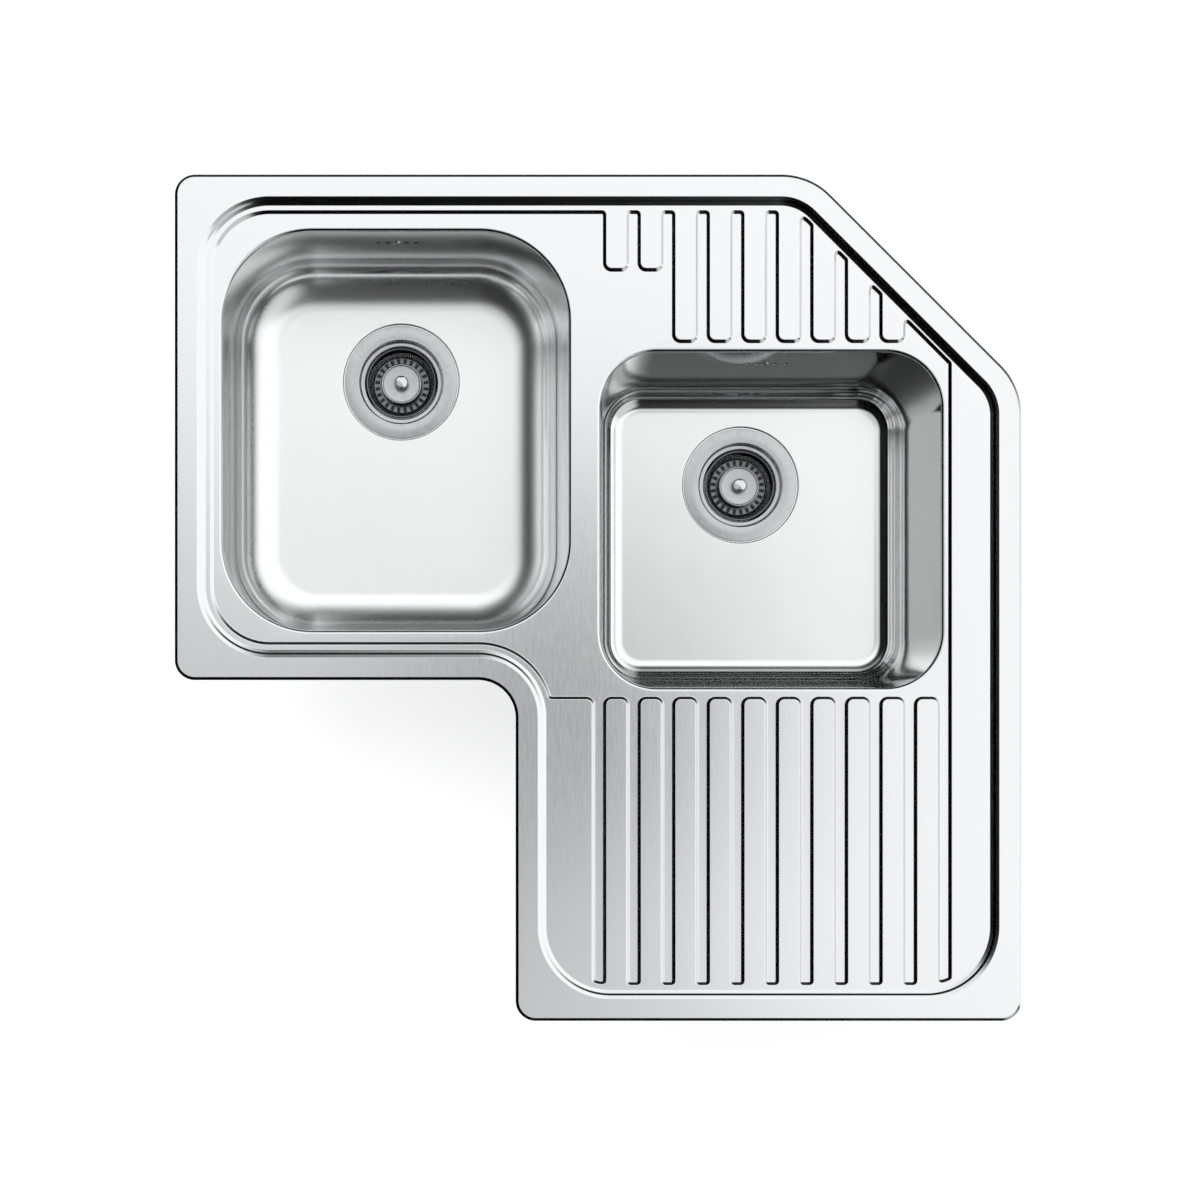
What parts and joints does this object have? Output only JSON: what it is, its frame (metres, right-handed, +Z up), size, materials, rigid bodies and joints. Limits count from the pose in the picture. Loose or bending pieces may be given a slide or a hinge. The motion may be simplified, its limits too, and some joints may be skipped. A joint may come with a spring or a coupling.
{
  "type": "corner kitchen sink",
  "caption": "L-shaped stainless corner sink for inset fitting: two bowls with basket strainers and overflows, ribbed drainers, a cut-off back corner and worktop clips.",
  "frame": {"origin": "centre of the square that encloses the L, on the worktop's plane under the rim", "axes": "+Z up; the full corner of the L lies at +X +Y, its missing quarter at -X -Y; the main bowl's arm runs along -X and the ribbed drainer's arm along -Y"},
  "size_m": [0.83, 0.83, 0.2594],
  "materials": {
    "pressed_steel": "satin stainless steel sheet, finely brushed",
    "bowl_steel": "deep-drawn stainless steel, satin",
    "strainer_steel": "pressed stainless steel, half bright",
    "polished_steel": "turned and polished stainless steel",
    "fastener_steel": "bright zinc-plated steel",
    "galvanised_steel": "galvanised steel strip",
    "waste_plastic": "moulded white polypropylene",
    "hose_plastic": "ribbed grey polyethylene hose",
    "rubber_seal": "black moulded rubber",
    "foam_seal": "dark foam sealing strip",
    "bitumen_pad": "dull sound-deadening bitumen sheet"
  },
  "bodies": {
    "root": {"deck": "pressed_steel", "main_bowl": "bowl_steel", "second_bowl": "bowl_steel", "rim_gasket": "foam_seal", "sound_pads": "bitumen_pad", "clip_brackets": "galvanised_steel", "main_strainer_cup": "strainer_steel", "main_strainer_gasket": "rubber_seal", "main_waste_gasket": "rubber_seal", "main_waste_body": "waste_plastic", "main_waste_screw": "fastener_steel", "main_overflow_gasket": "rubber_seal", "main_overflow_collector": "waste_plastic", "main_overflow_screw": "fastener_steel", "main_overflow_hose": "hose_plastic", "second_strainer_cup": "strainer_steel", "second_strainer_gasket": "rubber_seal", "second_waste_gasket": "rubber_seal", "second_waste_body": "waste_plastic", "second_waste_screw": "fastener_steel", "second_overflow_gasket": "rubber_seal", "second_overflow_collector": "waste_plastic", "second_overflow_screw": "fastener_steel", "second_overflow_hose": "hose_plastic", "hose_clamps": "fastener_steel"},
    "clip_1_screw": {"clip_screw_1": "fastener_steel"},
    "clip_1_claw": {"clip_claw_1": "galvanised_steel"},
    "clip_2_screw": {"clip_screw_2": "fastener_steel"},
    "clip_2_claw": {"clip_claw_2": "galvanised_steel"},
    "clip_3_screw": {"clip_screw_3": "fastener_steel"},
    "clip_3_claw": {"clip_claw_3": "galvanised_steel"},
    "clip_4_screw": {"clip_screw_4": "fastener_steel"},
    "clip_4_claw": {"clip_claw_4": "galvanised_steel"},
    "clip_5_screw": {"clip_screw_5": "fastener_steel"},
    "clip_5_claw": {"clip_claw_5": "galvanised_steel"},
    "clip_6_screw": {"clip_screw_6": "fastener_steel"},
    "clip_6_claw": {"clip_claw_6": "galvanised_steel"},
    "clip_7_screw": {"clip_screw_7": "fastener_steel"},
    "clip_7_claw": {"clip_claw_7": "galvanised_steel"},
    "clip_8_screw": {"clip_screw_8": "fastener_steel"},
    "clip_8_claw": {"clip_claw_8": "galvanised_steel"},
    "main_basket_plug": {"main_basket_stem": "fastener_steel", "main_basket_seal": "rubber_seal"},
    "main_basket_top": {"main_basket_sieve": "strainer_steel", "main_basket_cap": "polished_steel", "main_basket_knob": "polished_steel"},
    "second_basket_plug": {"second_basket_stem": "fastener_steel", "second_basket_seal": "rubber_seal"},
    "second_basket_top": {"second_basket_sieve": "strainer_steel", "second_basket_cap": "polished_steel", "second_basket_knob": "polished_steel"}
  },
  "joints": [
    {"name": "clip_1_tighten", "type": "slide", "parent": "root", "child": "clip_1_screw", "axis": [0, 0, 1], "range_m": [-0.006, 0.007]},
    {"name": "clip_1_swing", "type": "hinge", "parent": "clip_1_screw", "child": "clip_1_claw", "pos_m": [-0.396, 0.167, -0.05125], "axis": [0, 0, 1], "range_deg": [0, 90]},
    {"name": "clip_2_tighten", "type": "slide", "parent": "root", "child": "clip_2_screw", "axis": [0, 0, 1], "range_m": [-0.006, 0.007]},
    {"name": "clip_2_swing", "type": "hinge", "parent": "clip_2_screw", "child": "clip_2_claw", "pos_m": [-0.265, 0.396, -0.05125], "axis": [0, 0, 1], "range_deg": [0, 90]},
    {"name": "clip_3_tighten", "type": "slide", "parent": "root", "child": "clip_3_screw", "axis": [0, 0, 1], "range_m": [-0.006, 0.007]},
    {"name": "clip_3_swing", "type": "hinge", "parent": "clip_3_screw", "child": "clip_3_claw", "pos_m": [0.058, 0.396, -0.05125], "axis": [0, 0, 1], "range_deg": [0, 90]},
    {"name": "clip_4_tighten", "type": "slide", "parent": "root", "child": "clip_4_screw", "axis": [0, 0, 1], "range_m": [-0.006, 0.007]},
    {"name": "clip_4_swing", "type": "hinge", "parent": "clip_4_screw", "child": "clip_4_claw", "pos_m": [0.396, 0.058, -0.05125], "axis": [0, 0, 1], "range_deg": [0, 90]},
    {"name": "clip_5_tighten", "type": "slide", "parent": "root", "child": "clip_5_screw", "axis": [0, 0, 1], "range_m": [-0.006, 0.007]},
    {"name": "clip_5_swing", "type": "hinge", "parent": "clip_5_screw", "child": "clip_5_claw", "pos_m": [0.396, -0.265, -0.05125], "axis": [0, 0, 1], "range_deg": [0, 90]},
    {"name": "clip_6_tighten", "type": "slide", "parent": "root", "child": "clip_6_screw", "axis": [0, 0, 1], "range_m": [-0.006, 0.007]},
    {"name": "clip_6_swing", "type": "hinge", "parent": "clip_6_screw", "child": "clip_6_claw", "pos_m": [0.167, -0.396, -0.05125], "axis": [0, 0, 1], "range_deg": [0, 90]},
    {"name": "clip_7_tighten", "type": "slide", "parent": "root", "child": "clip_7_screw", "axis": [0, 0, 1], "range_m": [-0.006, 0.007]},
    {"name": "clip_7_swing", "type": "hinge", "parent": "clip_7_screw", "child": "clip_7_claw", "pos_m": [-0.062, -0.265, -0.05125], "axis": [0, 0, 1], "range_deg": [0, 90]},
    {"name": "clip_8_tighten", "type": "slide", "parent": "root", "child": "clip_8_screw", "axis": [0, 0, 1], "range_m": [-0.006, 0.007]},
    {"name": "clip_8_swing", "type": "hinge", "parent": "clip_8_screw", "child": "clip_8_claw", "pos_m": [-0.265, -0.062, -0.05125], "axis": [0, 0, 1], "range_deg": [0, 90]},
    {"name": "main_basket_lift", "type": "slide", "parent": "root", "child": "main_basket_plug", "axis": [0, 0, 1], "range_m": [0, 0.24]},
    {"name": "main_basket_turn", "type": "hinge", "parent": "main_basket_plug", "child": "main_basket_top", "pos_m": [-0.1982, 0.2343, -0.172], "axis": [0, 0, 1], "continuous": true},
    {"name": "second_basket_lift", "type": "slide", "parent": "root", "child": "second_basket_plug", "axis": [0, 0, 1], "range_m": [0, 0.24]},
    {"name": "second_basket_turn", "type": "hinge", "parent": "second_basket_plug", "child": "second_basket_top", "pos_m": [0.1575, 0.1263, -0.172], "axis": [0, 0, 1], "continuous": true}
  ]
}
